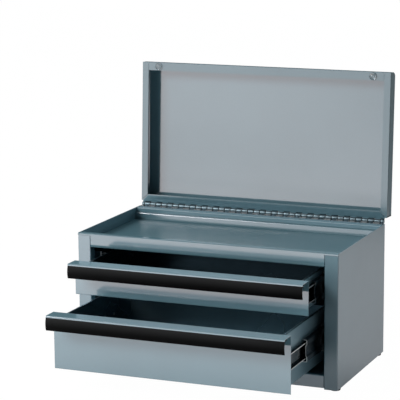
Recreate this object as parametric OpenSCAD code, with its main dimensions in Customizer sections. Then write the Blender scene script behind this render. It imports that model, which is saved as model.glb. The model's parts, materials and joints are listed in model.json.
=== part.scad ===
// Two-drawer tool chest with a hinged lid over a shallow top tray.
// Folded sheet steel, full-extension ball-bearing slides, continuous hinge.
// It is drawn with the lid up and both drawers part-way out.
//
// X is to the right, Y to the back and Z up. The origin is the middle of the
// cabinet's footprint, on the surface that the feet stand on.

/* [Cabinet] */
// Outside width of the cabinet
body_w = 457; // [400:1:600]
// Outside depth of the cabinet, from the front frame to the back
body_d = 250; // [230:1:340]
// Width of each upright stile of the front frame
stile_w = 23; // [18:0.5:34]
// Depth of the flange that each stile turns back into the opening
stile_return = 15; // [10:0.5:20]
// Height of the front face of the bottom rail
bottom_rail_h = 21.6; // [15:0.1:35]
// Height of the front face of the top rail
top_rail_h = 23; // [21:0.5:32]
// Height of the cabinet floor above the lower edge of the side panels
floor_lift = 1.8; // [1:0.1:3]
// Width of the flange along the back that carries the hinge
back_flange_w = 17; // [15:0.5:24]
// Width of the flanges that turn the other panel edges
weld_flange = 8; // [5:0.5:8.5]

/* [Sheet steel] */
// Thickness of the sheet steel
sheet_t = 1; // [0.8:0.1:1.3]
// Inside radius of every fold
bend_r = 0.8; // [0.4:0.1:1.5]
// Gap left in the seam between two panels
seam = 0.3; // [0.2:0.05:0.5]

/* [Top tray] */
// Depth of the tray floor below the top edge
tray_depth = 20; // [14:0.5:20.5]
// Width of the flange along the front of the tray
tray_flange_w = 12; // [11:0.5:18]
// Height of the band that passes over both stiles
tray_band_h = 3.5; // [3:0.1:6]
// Drop of the ledge along the rear wall below the top edge
tray_rear_drop = 8; // [6.5:0.5:12]
// Width of the ledge before the flange that carries the hinge
tray_ledge_w = 4; // [2:0.5:8]

/* [Lid] */
// Angle of the lid above its closed position
lid_angle = 93; // [0:1:93]
// Height of the skirt round the lid
lid_skirt_h = 28.5; // [24:0.5:45]
// Overhang of the lid past each side panel
lid_over = 0.3; // [0:0.1:1.5]
// Distance of the lid's front behind the front frame
lid_front_in = 1.5; // [0:0.1:4]
// Distance of the lid's back from the back of the cabinet
lid_rear_in = 1.2; // [0.6:0.1:3]
// Width of the rim flange at the sides and the back
rim_w = 11.3; // [9:0.1:16]
// Width of the rim flange at the front
rim_front_w = 14; // [13.5:0.1:20]
// Radius of the rolled front edge
lid_nose_r = 14; // [6:0.5:18]
// Radius of the other three top edges
lid_edge_r = 2.5; // [1.5:0.1:6]
// Width of the slits in the rim at the corners
rim_slit = 0.6; // [0.4:0.1:1]
// Diameter of each soft bumper
bumper_d = 13; // [8:0.5:13]
// Gap between a bumper and the tray flange with the lid closed
bumper_gap = 0.4; // [0.3:0.1:1]
// Distance of each bumper from the side of the lid
bumper_inset = 31; // [20:0.5:80]

/* [Hinge] */
// Outside diameter of the knuckles
knuckle_d = 7; // [6.4:0.1:7.4]
// Distance that the leaves are set in from the outside of the knuckles
leaf_set = 0.7; // [0.4:0.1:1]
// Distance of the hinge line behind the back of the cabinet
hinge_out = 4.5; // [4:0.1:6]
// Thickness of the leaves
leaf_t = 1; // [0.8:0.1:1.2]
// Reach of each leaf over the flange it is welded to
leaf_reach = 9.5; // [8:0.5:10.5]
// Distance of the hinge's ends from the sides of the cabinet
hinge_inset = 3; // [2:0.5:12]
// Length of one knuckle with the gap beside it
knuckle_pitch = 11; // [9:0.5:20]
// Gap beside and around each knuckle
knuckle_gap = 0.4; // [0.3:0.1:0.6]
// Distance of the middle knuckle from the middle of the hinge
knuckle_shift = 5; // [0:0.5:8]
// Diameter of the hinge pin
pin_d = 2.6; // [2.2:0.1:2.8]
// Gap between the pin and the knuckles all round
pin_gap = 0.1; // [0.05:0.05:0.15]

/* [Drawers] */
// Height of the upper drawer front
upper_front_h = 57; // [55:0.5:90]
// Height of the lower drawer front
lower_front_h = 94.2; // [60:0.1:140]
// Gap above the upper drawer front
top_gap = 8; // [5:0.5:12]
// Gap between the two drawer fronts
middle_gap = 10.1; // [5:0.1:14]
// Gap below the lower drawer front
bottom_gap = 8.8; // [5:0.1:12]
// Gap between a drawer front and each stile
side_gap = 3.75; // [2:0.25:5]
// How far the upper drawer front stands before the frame as drawn
upper_out = 65; // [-28:1:150]
// How far the lower drawer front stands before the frame as drawn
lower_out = 145; // [-28:1:150]
// Distance of a closed drawer front behind the front frame
recess = 28.5; // [28.5:0.5:34]
// Thickness of the drawer sheet
drawer_t = 0.9; // [0.7:0.1:1.2]
// Drop of the drawer sides below the top of the drawer front
side_drop = 4.7; // [2:0.1:5]
// Width of the flange turned in along the top of each drawer side
drawer_hem = 4; // [3:0.5:8]
// Gap between the drawer and the inside of the back panel when closed
rear_gap = 10; // [8:0.5:30]

/* [Drawer pull] */
// Depth of the shelf along the top of the drawer front
pull_depth = 27.8; // [22:0.1:28]
// Height of the shelf's turned-down front edge
pull_edge_h = 3; // [2.5:0.1:4]
// Height of the pull from the shelf to the grip's lower edge
pull_h = 24.6; // [18:0.1:26]
// Wall thickness of the grip
grip_t = 2; // [1.6:0.1:2.8]
// Radius of the grip's rounded face
grip_r = 30; // [24:0.5:40]
// Bulge of the grip in front of the shelf's edge
grip_bulge = 2; // [1.5:0.1:2.5]
// Length of the tongue that holds the grip under the shelf
grip_tongue = 10; // [6:0.5:14]
// Gap round the grip in its seat
grip_gap = 0.2; // [0.1:0.05:0.3]

/* [Slides] */
// Height of the fixed slide member
slide_h = 45.7; // [45.7:0.1:48]
// Thickness of one slide, from the bracket to the drawer side
slide_w = 12.7; // [12.7:0.1:14]
// Thickness of the slide steel
slide_t = 1.3; // [1.2:0.05:1.4]
// Inside radius of the folds in the slide members
slide_bend_r = 0.7; // [0.5:0.1:0.9]
// Distance of each slide inside the edge of the opening
slide_inset = 5.5; // [4:0.5:9]
// Diameter of the balls between the fixed and the middle member
outer_ball_d = 3.97; // [3.8:0.01:4.1]
// Diameter of the balls between the middle and the drawer member
inner_ball_d = 4.76; // [4.6:0.01:4.9]
// Depth of the grooves that the balls run in
groove = 0.46; // [0.35:0.01:0.5]
// Gap between a ball and its grooves
ball_gap = 0.05; // [0.03:0.01:0.08]
// Gap between a ball and its hole in the cage
cage_hole_gap = 0.12; // [0.08:0.01:0.15]
// Thickness of the ball cages
cage_t = 0.6; // [0.5:0.05:0.7]
// Gap between the ball cages and the members they run between
cage_gap = 0.55; // [0.45:0.05:0.6]
// Number of balls in each row
ball_count = 7; // [5:1:8]
// Distance between two balls of a row
ball_pitch = 10.5; // [9:0.5:11]
// Distance of the first and last fastener from the slide's ends
fastener_end = 18; // [12:0.5:30]
// Diameter of the shanks of the slide screws
screw_d = 3.8; // [3:0.1:4.5]
// Diameter of the flush heads of the slide screws
screw_head_d = 7; // [6:0.1:8]
// Length of the slide screws
screw_len = 6; // [4:0.5:10]
// Diameter of the rivets' shanks
rivet_d = 3.2; // [2.8:0.1:4]
// Diameter of both rivet heads
rivet_head_d = 6; // [5:0.1:7]
// Height of the rivet head inside the drawer
rivet_tail_h = 1.2; // [0.8:0.1:2]
// Gap round a fastener in its hole
hole_gap = 0.1; // [0.05:0.05:0.2]

/* [Feet] */
// Diameter of each foot
foot_d = 18; // [12:0.5:20]
// Drop of the feet below the side panels
foot_drop = 4; // [2:0.1:10]
// Distance of the feet's centres from the sides
foot_side_in = 9.5; // [9.5:0.5:30]
// Distance of the front feet's centres from the front frame
foot_front_in = 18; // [18:0.5:60]
// Distance of the rear feet's centres from the back
foot_rear_in = 13; // [13:0.5:60]

/* [Hidden] */
$fn = 48;
bend_steps = 4;
cut = 1; // how far a cutting shape passes what it cuts
room = 2; // room between flanges that face each other
tiny = 0.01;

// The cabinet's main planes
side_x = body_w / 2;
front_y = -body_d / 2;
back_y = body_d / 2;
base_z = foot_drop;
floor_z = base_z + floor_lift;
opening_z = floor_z + bottom_rail_h;
lower_z = opening_z + bottom_gap;
upper_z = lower_z + lower_front_h + middle_gap;
opening_top_z = upper_z + upper_front_h + top_gap;
top_z = opening_top_z + top_rail_h;
opening_x = side_x - stile_w;

// Panels that end in a folded corner stay clear of its inside radius
corner_gap = seam + bend_r * (1 - sqrt(0.5));
inner_x = side_x - sheet_t - corner_gap;
back_panel_y = back_y - sheet_t - seam;
side_lap = 13;

// The hinge line and the lid in its closed position
knuckle_r = knuckle_d / 2;
hinge_y = back_y + hinge_out;
hinge_gap = knuckle_d - 2 * leaf_set; // between the outer faces of the leaves
hinge_z = top_z + hinge_gap / 2;
hinge_len = body_w - 2 * hinge_inset;
knuckle_pairs = ceil(hinge_len / knuckle_pitch / 4);
lid_x = side_x + lid_over;
lid_front_y = front_y + lid_front_in;
lid_rear_y = back_y - lid_rear_in;
rim_z = top_z + hinge_gap;
lid_top_z = rim_z + lid_skirt_h;
bumper_h = hinge_gap - bumper_gap;

// The drawers, measured from the plane of their closed fronts
closed_y = front_y + recess;
front_x = opening_x - side_gap;
slide_x = opening_x - slide_inset;
box_x = slide_x - slide_w;
slide_front_gap = 0.8;
slide_y = closed_y + sheet_t + slide_front_gap;
slide_len = back_panel_y - sheet_t - rear_gap - slide_y;
box_len = slide_len + slide_front_gap - seam;

// The slide members' edges, measured from the face against the bracket
middle_u = slide_t + cage_t + 2 * cage_gap;
drawer_u = middle_u + slide_t + cage_t + 2 * cage_gap;
middle_half = slide_h / 2 - slide_t - outer_ball_d + 2 * (groove - ball_gap);
drawer_half = middle_half - slide_t - inner_ball_d + 2 * (groove - ball_gap);
outer_ball_z = slide_h / 2 - slide_t + groove - ball_gap - outer_ball_d / 2;
inner_ball_z = middle_half - slide_t + groove - ball_gap - inner_ball_d / 2;
outer_ball_u = middle_u + outer_ball_d / 2 + 0.9;
inner_ball_u = middle_u + slide_t + inner_ball_d / 2 + 1.2;
web_step = 1.8;
web_step_z = 9.5;
web_step_run = 2;

// ---------------------------------------------------------------- folding

function unit(v) = v / norm(v);
function right_of(v) = [v.y, -v.x];
function turned(v, a) = [v.x * cos(a) - v.y * sin(a), v.x * sin(a) + v.y * cos(a)];
function turn_between(a, b) = atan2(a.x * b.y - a.y * b.x, a.x * b.x + a.y * b.y);
function reversed(list) = [for (i = [len(list) - 1:-1:0]) list[i]];

// The points of one bend, on the path itself (depth 0) or on the far face of
// the sheet (depth t). A bend towards the sheet has its radius on the far face.
function bend_points(before, corner, after, t, r, depth) =
    let (
        d = unit(corner - before),
        a = turn_between(d, unit(after - corner)),
        inward = a < 0,
        path_r = inward ? r + t : r,
        way = inward ? 1 : -1,
        n = right_of(d),
        centre = corner - d * path_r * tan(abs(a) / 2) + n * way * path_r,
        face_r = path_r - way * depth
    )
    [for (k = [0:bend_steps]) centre - way * face_r * turned(n, a * k / bend_steps)];

function face_points(path, t, r, depth) =
    let (last = len(path) - 1)
    concat(
        [path[0] + depth * right_of(unit(path[1] - path[0]))],
        [for (i = [1:1:last - 1]) each bend_points(path[i - 1], path[i], path[i + 1], t, r, depth)],
        [path[last] + depth * right_of(unit(path[last] - path[last - 1]))]
    );

// A sheet folded along a path. The path is one face of it, and the thickness
// lies to the right of the way along the path.
module folded_sheet(path, t, r) {
    polygon(concat(face_points(path, t, r, 0), reversed(face_points(path, t, r, t))));
}

// Extrudes a profile drawn in Y and Z along X, centred
module along_x(width) {
    rotate([90, 0, 90]) linear_extrude(width, center = true) children();
}

// Extrudes a profile drawn in X and Z along Y, from y = 0 backwards
module along_y(length) {
    translate([0, length, 0]) rotate([90, 0, 0]) linear_extrude(length) children();
}

module both_sides() {
    children();
    mirror([1, 0, 0]) children();
}

// Draws its children on the left, or mirrored on the right
module on_side(side) {
    mirror([side == "right" ? 1 : 0, 0, 0]) children();
}

// ---------------------------------------------------------------- cabinet

// Side wall, front stile and rear lap, folded from one sheet
module side_panel(side) {
    path = [
        [-opening_x, front_y + stile_return],
        [-opening_x, front_y],
        [-side_x, front_y],
        [-side_x, back_y],
        [-side_x + side_lap, back_y]
    ];
    corner_d = sheet_t + bend_r + 2 * seam;
    color([0.44, 0.50, 0.54]) on_side(side) difference() {
        translate([0, 0, base_z]) linear_extrude(top_z - base_z) folded_sheet(path, sheet_t, bend_r);
        // the tray's band passes over the stile here
        translate([-side_x - cut, front_y - cut, top_z - tray_band_h - seam])
            cube([stile_w + 2 * cut, corner_d + cut, tray_band_h + seam + cut]);
        // the turned-back flange ends at the top of the opening
        translate([-opening_x - sheet_t - bend_r, front_y + sheet_t, opening_top_z - seam])
            cube([sheet_t + bend_r + cut, stile_return, top_z]);
    }
}

// Back wall with the flange that carries the hinge
module back_panel() {
    flange_y = back_panel_y - back_flange_w;
    path = [
        [flange_y, top_z - tray_rear_drop + seam],
        [flange_y, top_z],
        [back_panel_y, top_z],
        [back_panel_y, floor_z]
    ];
    color([0.40, 0.47, 0.51]) along_x(2 * inner_x) folded_sheet(path, sheet_t, bend_r);
}

// Floor, bottom rail and the flanges that turn up inside the walls
module bottom_panel() {
    rear_y = back_panel_y - sheet_t - seam;
    path = [
        [rear_y, floor_z + weld_flange],
        [rear_y, floor_z],
        [front_y, floor_z],
        [front_y, opening_z],
        [front_y + weld_flange, opening_z]
    ];
    notch_y = front_y + stile_return + seam;
    rail_x = opening_x - seam;
    flange_y = notch_y + room;
    color([0.40, 0.47, 0.51]) union() {
        difference() {
            along_x(2 * inner_x) folded_sheet(path, sheet_t, bend_r);
            both_sides() translate([rail_x, front_y - cut, floor_z - cut])
                cube([stile_w, notch_y - front_y + cut, bottom_rail_h + 2 * cut]);
        }
        both_sides() translate([inner_x - sheet_t, flange_y, floor_z])
            cube([sheet_t, rear_y - sheet_t - bend_r - room - flange_y, weld_flange]);
    }
}

// Top rail, front flange, tray floor and rear wall, folded from one sheet
module top_tray() {
    wall_y = front_y + tray_flange_w;
    rear_y = back_panel_y - back_flange_w - tray_ledge_w;
    ledge_z = top_z - tray_rear_drop;
    floor_top_z = top_z - tray_depth;
    rail_return = tray_flange_w - sheet_t - room;
    path = [
        [front_y + rail_return, opening_top_z],
        [front_y, opening_top_z],
        [front_y, top_z],
        [wall_y, top_z],
        [wall_y, floor_top_z],
        [rear_y, floor_top_z],
        [rear_y, ledge_z],
        [rear_y + tray_ledge_w + sheet_t + room, ledge_z]
    ];
    corner_d = sheet_t + bend_r + seam;
    stile_cut_h = top_z - tray_band_h - opening_top_z;
    flange_y = wall_y + bend_r + room;
    color([0.40, 0.47, 0.51]) union() {
        difference() {
            along_x(2 * side_x) folded_sheet(path, sheet_t, bend_r);
            both_sides() translate([opening_x - seam, front_y - cut, opening_top_z - cut])
                cube([stile_w + cut, rail_return + cut + room / 2, stile_cut_h + cut]);
            both_sides() translate([inner_x, front_y + corner_d, opening_top_z - cut])
                cube([side_x, body_d, top_z]);
        }
        both_sides() translate([inner_x - sheet_t, flange_y, floor_top_z - weld_flange])
            cube([sheet_t, rear_y - bend_r - room - flange_y, weld_flange - sheet_t / 2]);
    }
}

// Hat-shaped bracket that carries both slides of one side
module slide_bracket(side) {
    start_y = slide_y + seam;
    end_y = slide_y + slide_len + room;
    wall_x = -side_x + sheet_t + seam;
    foot_w = 14;
    path = [
        [wall_x, end_y - foot_w],
        [wall_x, end_y],
        [-slide_x, end_y],
        [-slide_x, start_y],
        [wall_x, start_y],
        [wall_x, start_y + foot_w]
    ];
    low_z = slide_centre("lower") - slide_h / 2 - room;
    high_z = slide_centre("upper") + slide_h / 2 + room;
    color([0.30, 0.35, 0.38]) on_side(side) difference() {
        translate([0, 0, low_z]) linear_extrude(high_z - low_z) folded_sheet(path, sheet_t, bend_r);
        for (drawer = ["upper", "lower"])
            at_fasteners(drawer, -slide_x)
                fastener_axis() cylinder(h = 4 * cut, d = screw_d + 2 * hole_gap, center = true);
    }
}

// Rubber foot: a pad with a recess underneath, on a neck that reaches the floor
module feet() {
    pad_h = base_z - seam;
    for (y = [front_y + foot_front_in, back_y - foot_rear_in])
        both_sides() translate([side_x - foot_side_in, y, 0])
            color([0.10, 0.10, 0.11]) difference() {
                union() {
                    cylinder(h = pad_h, d1 = foot_d - 2, d2 = foot_d);
                    cylinder(h = floor_z, d = 2 * foot_d / 3);
                }
                translate([0, 0, -cut]) cylinder(h = cut + pad_h / 2, d = foot_d / 3);
            }
}

// ---------------------------------------------------------------- hinge

// Cuts room for the other leaf's knuckles at every second place
module knuckle_room(first) {
    for (i = [first - 2 * knuckle_pairs:2:2 * knuckle_pairs])
        translate([i * knuckle_pitch + knuckle_shift, hinge_y, hinge_z]) rotate([0, 90, 0])
            cylinder(h = knuckle_pitch + knuckle_gap, r = knuckle_r + knuckle_gap, center = true);
}

// One leaf with its knuckles. The leaf lies along the top (up = 1) or the
// bottom (up = -1) of the knuckles and ends at y = end_y.
module hinge_leaf(up, end_y, first) {
    leaf_z = up > 0 ? hinge_gap / 2 - leaf_t : -hinge_gap / 2;
    difference() {
        along_x(hinge_len) translate([hinge_y, hinge_z]) difference() {
            union() {
                circle(r = knuckle_r);
                translate([end_y - hinge_y, leaf_z]) square([hinge_y - end_y, leaf_t]);
            }
            circle(d = pin_d + 2 * pin_gap);
        }
        knuckle_room(first);
    }
}

module hinge_lower_leaf() {
    color([0.36, 0.44, 0.48]) hinge_leaf(-1, back_panel_y - leaf_reach, 1);
}

module hinge_pin() {
    color([0.55, 0.57, 0.58]) translate([0, hinge_y, hinge_z]) rotate([0, 90, 0])
        cylinder(h = hinge_len, d = pin_d, center = true);
}

// ---------------------------------------------------------------- lid

// Swings its children, drawn closed, up about the hinge line
module opened() {
    translate([0, hinge_y, hinge_z]) rotate([-lid_angle, 0, 0])
        translate([0, -hinge_y, -hinge_z]) children();
}

module hinge_upper_leaf() {
    color([0.36, 0.44, 0.48]) opened() hinge_leaf(1, lid_rear_y - leaf_reach, 0);
}

// What a radius takes off the upper left corner at [x, z], or, mirrored, off
// the upper right one
module corner_waste(x, z, r, right) {
    translate([x, z]) mirror([right ? 1 : 0, 0]) difference() {
        translate([-cut, -r]) square(r + cut);
        translate([r, -r]) circle(r = r);
    }
}

// The lid's outline from the side, each wall moved in by the inset
module lid_side_outline(inset) {
    low_z = rim_z + inset;
    high_z = lid_top_z - inset;
    low_y = lid_front_y + inset;
    high_y = lid_rear_y - inset;
    difference() {
        translate([low_y, low_z]) square([high_y - low_y, high_z - low_z]);
        corner_waste(low_y, high_z, lid_nose_r - inset, false);
        corner_waste(high_y, high_z, lid_edge_r - inset, true);
    }
}

// The same from the front
module lid_front_outline(inset) {
    low_z = rim_z + inset;
    high_z = lid_top_z - inset;
    half = lid_x - inset;
    difference() {
        translate([-half, low_z]) square([2 * half, high_z - low_z]);
        corner_waste(-half, high_z, lid_edge_r - inset, false);
        corner_waste(half, high_z, lid_edge_r - inset, true);
    }
}

module lid_solid(inset) {
    intersection() {
        along_x(2 * (lid_x - inset)) lid_side_outline(inset);
        translate([0, lid_front_y, 0]) along_y(lid_rear_y - lid_front_y) lid_front_outline(inset);
    }
}

// Slits where the rim flanges meet: mitred at the back, butted at the front
module rim_slits() {
    slit_h = sheet_t + 2 * cut;
    both_sides() {
        translate([lid_x - rim_w - rim_slit, lid_front_y + room, rim_z - cut])
            cube([rim_slit, rim_front_w, slit_h]);
        translate([lid_x, lid_rear_y, rim_z - cut]) rotate([0, 0, 225])
            translate([2 * room, -rim_slit / 2, 0]) cube([2 * rim_w, rim_slit, slit_h]);
    }
}

module lid_shell() {
    rim_y0 = lid_front_y + rim_front_w;
    rim_y1 = lid_rear_y - rim_w;
    color([0.44, 0.50, 0.54]) opened() difference() {
        lid_solid(0);
        lid_solid(sheet_t);
        translate([-(lid_x - rim_w), rim_y0, rim_z - cut])
            cube([2 * (lid_x - rim_w), rim_y1 - rim_y0, sheet_t + 2 * cut]);
        rim_slits();
    }
}

// Soft domes on the lid's front flange
module lid_bumpers() {
    dome_r = (pow(bumper_d / 2, 2) + pow(bumper_h, 2)) / (2 * bumper_h);
    color([0.80, 0.82, 0.82]) opened() both_sides()
        translate([lid_x - bumper_inset, lid_front_y + rim_front_w / 2, rim_z - bumper_h])
            intersection() {
                translate([0, 0, dome_r]) sphere(r = dome_r);
                cylinder(h = bumper_h, d = bumper_d);
            }
}

// ---------------------------------------------------------------- drawers

function drawer_out(drawer) = (drawer == "upper" ? upper_out : lower_out) + recess;
function front_low(drawer) = drawer == "upper" ? upper_z : lower_z;
function front_high(drawer) = front_low(drawer) + (drawer == "upper" ? upper_front_h : lower_front_h);
function box_low(drawer) = front_low(drawer) + sheet_t + corner_gap;
function box_high(drawer) = front_high(drawer) - side_drop;
function slide_centre(drawer) = (box_low(drawer) + box_high(drawer)) / 2;

// Moves its children, drawn closed, out by a share of the drawer's travel
module pulled_out(drawer, share) {
    translate([0, -share * drawer_out(drawer), 0]) children();
}

// Flat front with a shelf turned forward at its top
module drawer_front(drawer) {
    low_z = front_low(drawer);
    high_z = front_high(drawer);
    lip_y = closed_y - pull_depth + sheet_t;
    path = [
        [closed_y + sheet_t + weld_flange, low_z],
        [closed_y, low_z],
        [closed_y, high_z - sheet_t],
        [lip_y, high_z - sheet_t],
        [lip_y, high_z - pull_edge_h]
    ];
    color([0.50, 0.55, 0.58]) pulled_out(drawer, 1) difference() {
        along_x(2 * front_x) folded_sheet(path, sheet_t, bend_r);
        // the lower flange reaches only as far as the box that stands on it
        both_sides() translate([box_x, closed_y + sheet_t, low_z - cut])
            cube([front_x, weld_flange + cut, sheet_t + bend_r + cut]);
    }
}

// Floor and sides folded from one sheet, with hemmed tops, a rear wall and
// two tabs against the drawer front
module drawer_box(drawer) {
    low_z = box_low(drawer);
    high_z = box_high(drawer);
    start_y = closed_y + sheet_t + seam;
    path = [
        [box_x - drawer_hem, high_z],
        [box_x, high_z],
        [box_x, low_z],
        [-box_x, low_z],
        [-box_x, high_z],
        [-box_x + drawer_hem, high_z]
    ];
    tab_w = 12; // of the tabs behind the drawer front
    color([0.22, 0.27, 0.30]) pulled_out(drawer, 1) difference() {
        translate([0, start_y, 0]) union() {
            along_y(box_len) folded_sheet(path, drawer_t, bend_r);
            translate([-box_x + drawer_t / 2, box_len - drawer_t, low_z + drawer_t / 2])
                cube([2 * box_x - drawer_t, drawer_t, high_z - low_z - drawer_t]);
            both_sides() translate([box_x - tab_w, 0, low_z + drawer_t / 2])
                cube([tab_w - drawer_t / 2, drawer_t, high_z - low_z - drawer_t]);
        }
        both_sides() at_fasteners(drawer, -box_x)
            fastener_axis() cylinder(h = 4 * cut, d = rivet_d + 2 * hole_gap, center = true);
    }
}

// Rounded grip clipped under the shelf, with room for fingers behind it
module drawer_grip(drawer) {
    edge_y = closed_y - pull_depth;
    high_z = front_high(drawer);
    fold_gap = grip_gap + bend_r * (1 - sqrt(0.5));
    top_of_grip = high_z - pull_edge_h - grip_gap;
    shelf_z = high_z - sheet_t - fold_gap;
    half_chord = sqrt(pow(grip_r, 2) - pow(grip_r - grip_bulge, 2));
    centre_y = edge_y - grip_bulge + grip_r;
    centre_z = top_of_grip - half_chord;
    leg_y = edge_y + sheet_t + fold_gap;
    tongue_t = 0.8 * grip_t;
    color([0.05, 0.05, 0.05]) pulled_out(drawer, 1) along_x(2 * front_x) union() {
        intersection() {
            translate([centre_y, centre_z]) difference() {
                circle(r = grip_r);
                circle(r = grip_r - grip_t);
            }
            translate([edge_y - grip_bulge - cut, high_z - pull_h])
                square([grip_r, top_of_grip - high_z + pull_h]);
        }
        translate([leg_y, top_of_grip - grip_t]) square([grip_t, shelf_z - top_of_grip + grip_t]);
        translate([edge_y + grip_t / 2, top_of_grip - grip_t])
            square([leg_y - edge_y, grip_t]);
        translate([leg_y, shelf_z - tongue_t]) square([grip_tongue, tongue_t]);
    }
}

// ---------------------------------------------------------------- slides

// Places children at one slide's fasteners, on the plane x, drawer closed
module at_fasteners(drawer, x) {
    for (y = [fastener_end, slide_len / 2, slide_len - fastener_end])
        translate([x, slide_y + y, slide_centre(drawer)]) children();
}

// Turns a shape drawn along +Z to point along +X
module fastener_axis() {
    rotate([0, 90, 0]) children();
}

// Extrudes a member's profile, drawn from the bracket face at u = 0
module slide_member(drawer, side, share) {
    on_side(side) pulled_out(drawer, share)
        translate([-slide_x, slide_y, slide_centre(drawer)]) along_y(slide_len) children();
}

module grooves(u, z, ball_d) {
    for (s = [-1, 1]) translate([u, s * z]) circle(d = ball_d + 2 * ball_gap);
}

// Room for a flush head in a member's web, wide end at z = 0
module head_room(head_d, shank_d) {
    flat = 0.2;
    translate([0, 0, -tiny]) cylinder(h = flat + tiny, d = head_d + 2 * hole_gap);
    translate([0, 0, flat - tiny])
        cylinder(h = slide_t - 2 * flat, d1 = head_d + 2 * hole_gap, d2 = shank_d + 2 * hole_gap);
    cylinder(h = 3 * slide_t, d = shank_d + 2 * hole_gap);
}

module flush_head(head_d, shank_d) {
    flat = 0.2;
    cylinder(h = flat, d = head_d);
    translate([0, 0, flat]) cylinder(h = slide_t - 2 * flat, d1 = head_d, d2 = shank_d);
}

// Member screwed to the bracket
module fixed_member(drawer, side) {
    depth = outer_ball_u + outer_ball_d / 2 + slide_t + cage_gap / 2;
    half = slide_h / 2;
    lip_z = half - slide_t - slide_bend_r - seam;
    path = [[depth, -lip_z], [depth, -half], [0, -half], [0, half], [depth, half], [depth, lip_z]];
    color([0.62, 0.64, 0.66]) difference() {
        slide_member(drawer, side, 0) difference() {
            folded_sheet(path, slide_t, slide_bend_r);
            grooves(outer_ball_u, outer_ball_z, outer_ball_d);
        }
        on_side(side) at_fasteners(drawer, -slide_x + slide_t)
            rotate([0, -90, 0]) head_room(screw_head_d, screw_d);
    }
}

// A channel whose web steps away from the bracket about its middle
function stepped_channel(edge_u, web_u, half, step_z) = [
    [edge_u, -half],
    [web_u, -half],
    [web_u, -step_z],
    [web_u + web_step, -step_z + web_step_run],
    [web_u + web_step, step_z - web_step_run],
    [web_u, step_z],
    [web_u, half],
    [edge_u, half]
];

// Member that runs between the other two, with a stepped web
module middle_member(drawer, side) {
    depth = slide_w - slide_t - cage_gap;
    path = stepped_channel(depth, middle_u, middle_half, web_step_z);
    color([0.66, 0.68, 0.70]) slide_member(drawer, side, 0.5) difference() {
        folded_sheet(path, slide_t, slide_bend_r);
        grooves(outer_ball_u, outer_ball_z, outer_ball_d);
        grooves(inner_ball_u, inner_ball_z, inner_ball_d);
    }
}

// Member riveted to the drawer side
module drawer_member(drawer, side) {
    half = drawer_half;
    path = [[drawer_u, half], [slide_w, half], [slide_w, -half], [drawer_u, -half]];
    color([0.62, 0.64, 0.66]) difference() {
        slide_member(drawer, side, 1) difference() {
            folded_sheet(path, slide_t, slide_bend_r);
            grooves(inner_ball_u, inner_ball_z, inner_ball_d);
        }
        on_side(side) pulled_out(drawer, 1) at_fasteners(drawer, -box_x - slide_t)
            rotate([0, 90, 0]) head_room(rivet_head_d, rivet_d);
    }
}

// The places of one row's balls along the slide, about its middle
function ball_places() = [for (i = [0:ball_count - 1])
    slide_len / 2 + (i - (ball_count - 1) / 2) * ball_pitch];

// Sheet cage that keeps two rows of balls apart
module ball_cage(drawer, side, share, path, ball_u, ball_z, ball_d) {
    cage_len = ball_count * ball_pitch + 4;
    color([0.70, 0.66, 0.52]) on_side(side) pulled_out(drawer, share)
        translate([-slide_x, slide_y, slide_centre(drawer)]) difference() {
            translate([0, (slide_len - cage_len) / 2, 0]) along_y(cage_len)
                folded_sheet(path, cage_t, cage_t);
            for (s = [-1, 1], y = ball_places()) translate([ball_u, y, s * ball_z])
                cylinder(h = 2 * cage_t, d = ball_d + 2 * cage_hole_gap, center = true);
        }
}

module outer_cage(drawer, side) {
    web_u = slide_t + cage_gap;
    arm_z = outer_ball_z + cage_t / 2;
    end_u = outer_ball_u + outer_ball_d / 2 + cage_gap;
    path = [[end_u, -arm_z], [web_u, -arm_z], [web_u, arm_z], [end_u, arm_z]];
    ball_cage(drawer, side, 0.25, path, outer_ball_u, outer_ball_z, outer_ball_d);
}

module inner_cage(drawer, side) {
    web_u = middle_u + slide_t + cage_gap;
    arm_z = inner_ball_z + cage_t / 2;
    end_u = inner_ball_u + inner_ball_d / 2 + cage_gap;
    path = stepped_channel(end_u, web_u, arm_z, web_step_z + cage_gap);
    ball_cage(drawer, side, 0.75, path, inner_ball_u, inner_ball_z, inner_ball_d);
}

// The balls of both slides of a drawer that move with one pair of cages
module balls(drawer, share, ball_u, ball_z, ball_d) {
    color([0.75, 0.76, 0.78]) both_sides() pulled_out(drawer, share)
        translate([-slide_x, slide_y, slide_centre(drawer)])
            for (s = [-1, 1], y = ball_places()) translate([ball_u, y, s * ball_z]) sphere(d = ball_d);
}

// Flush-headed screws that hold the fixed members to the brackets
module slide_screws(drawer) {
    color([0.70, 0.71, 0.72]) both_sides() at_fasteners(drawer, -slide_x + slide_t)
        rotate([0, -90, 0]) union() {
            flush_head(screw_head_d, screw_d);
            cylinder(h = screw_len, d = screw_d);
        }
}

// Rivets that hold the drawer members to the drawer sides
module drawer_rivets(drawer) {
    color([0.70, 0.71, 0.72]) pulled_out(drawer, 1) both_sides()
        at_fasteners(drawer, -box_x - slide_t) rotate([0, 90, 0]) union() {
            flush_head(rivet_head_d, rivet_d);
            cylinder(h = slide_t + drawer_t + rivet_tail_h, d = rivet_d);
            translate([0, 0, slide_t + drawer_t])
                cylinder(h = rivet_tail_h, d1 = rivet_head_d, d2 = rivet_d);
        }
}

// ---------------------------------------------------------------- the nodes

side_panel("left");  // left_side_panel
side_panel("right");  // right_side_panel
back_panel();
bottom_panel();
top_tray();
slide_bracket("left");  // left_slide_bracket
slide_bracket("right");  // right_slide_bracket
feet();
hinge_lower_leaf();
hinge_pin();
hinge_upper_leaf();
lid_shell();
lid_bumpers();

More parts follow.
